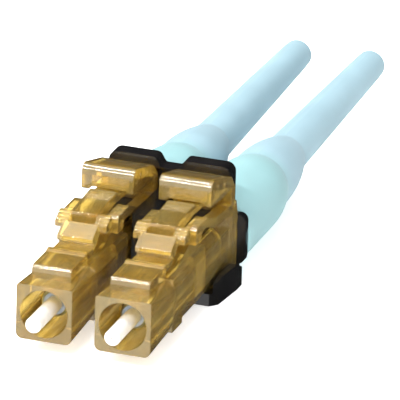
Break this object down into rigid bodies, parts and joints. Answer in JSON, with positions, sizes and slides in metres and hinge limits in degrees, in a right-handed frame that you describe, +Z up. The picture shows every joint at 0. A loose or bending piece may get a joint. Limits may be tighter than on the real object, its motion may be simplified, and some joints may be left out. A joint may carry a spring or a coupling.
{
  "type": "lc fibre connector",
  "caption": "Duplex LC fibre connector: square amber housings with latches and anti-snag triggers, held by a black clip, with long tapered boots.",
  "frame": {"origin": "middle of the footprint on the surface that the pair lies on, below its middle", "axes": "+X across the pair to the right connector, +Y rearwards along the ferrules to the boots' ends, +Z up to the triggers"},
  "size_m": [0.0124, 0.0626, 0.0101],
  "materials": {
    "amber_polyetherimide": "translucent amber moulding",
    "zirconia": "ground white ceramic",
    "barrel_metal": "turned",
    "spring_steel": "drawn wire",
    "post_metal": "turned",
    "crimp_metal": "drawn tube",
    "boot_elastomer": "satin, pale aqua",
    "clip_plastic": "satin black moulding"
  },
  "bodies": {
    "housings": {"plug_housing_left": "amber_polyetherimide", "rear_housing_left": "amber_polyetherimide", "spring_left": "spring_steel", "back_post_left": "post_metal", "crimp_sleeve_left": "crimp_metal", "boot_left": "boot_elastomer", "plug_housing_right": "amber_polyetherimide", "rear_housing_right": "amber_polyetherimide", "spring_right": "spring_steel", "back_post_right": "post_metal", "crimp_sleeve_right": "crimp_metal", "boot_right": "boot_elastomer", "duplex_clip": "clip_plastic"},
    "trigger_left": {"trigger_left": "amber_polyetherimide"},
    "latch_left": {"latch_arm_left": "amber_polyetherimide"},
    "ferrule_left": {"ferrule_left": "zirconia", "ferrule_barrel_left": "barrel_metal"},
    "trigger_right": {"trigger_right": "amber_polyetherimide"},
    "latch_right": {"latch_arm_right": "amber_polyetherimide"},
    "ferrule_right": {"ferrule_right": "zirconia", "ferrule_barrel_right": "barrel_metal"}
  },
  "joints": [
    {"name": "trigger_left_press", "type": "hinge", "parent": "housings", "child": "trigger_left", "pos_m": [-0.00313, -0.00987, 0.0066], "axis": [1, 0, 0], "range_deg": [0, 7.5], "stiffness_Nm_per_rad": 0.05},
    {"name": "latch_left_flex", "type": "hinge", "parent": "housings", "child": "latch_left", "pos_m": [-0.00313, -0.02341, 0.00608], "axis": [1, 0, 0], "range_deg": [-3.75, 0], "stiffness_Nm_per_rad": 0.00005},
    {"name": "ferrule_left_float", "type": "slide", "parent": "housings", "child": "ferrule_left", "axis": [0, 1, 0], "range_m": [0, 0.0009], "stiffness_N_per_m": 2000, "deforming": ["spring_left"]},
    {"name": "trigger_right_press", "type": "hinge", "parent": "housings", "child": "trigger_right", "pos_m": [0.00313, -0.00987, 0.0066], "axis": [1, 0, 0], "range_deg": [0, 7.5], "stiffness_Nm_per_rad": 0.05},
    {"name": "latch_right_flex", "type": "hinge", "parent": "housings", "child": "latch_right", "pos_m": [0.00313, -0.02341, 0.00608], "axis": [1, 0, 0], "range_deg": [-3.75, 0], "stiffness_Nm_per_rad": 0.00005},
    {"name": "ferrule_right_float", "type": "slide", "parent": "housings", "child": "ferrule_right", "axis": [0, 1, 0], "range_m": [0, 0.0009], "stiffness_N_per_m": 2000, "deforming": ["spring_right"]}
  ],
  "couplings": [
    {"joint": "latch_left_flex", "follows": "trigger_left_press", "ratio": -0.5},
    {"joint": "latch_right_flex", "follows": "trigger_right_press", "ratio": -0.5}
  ]
}
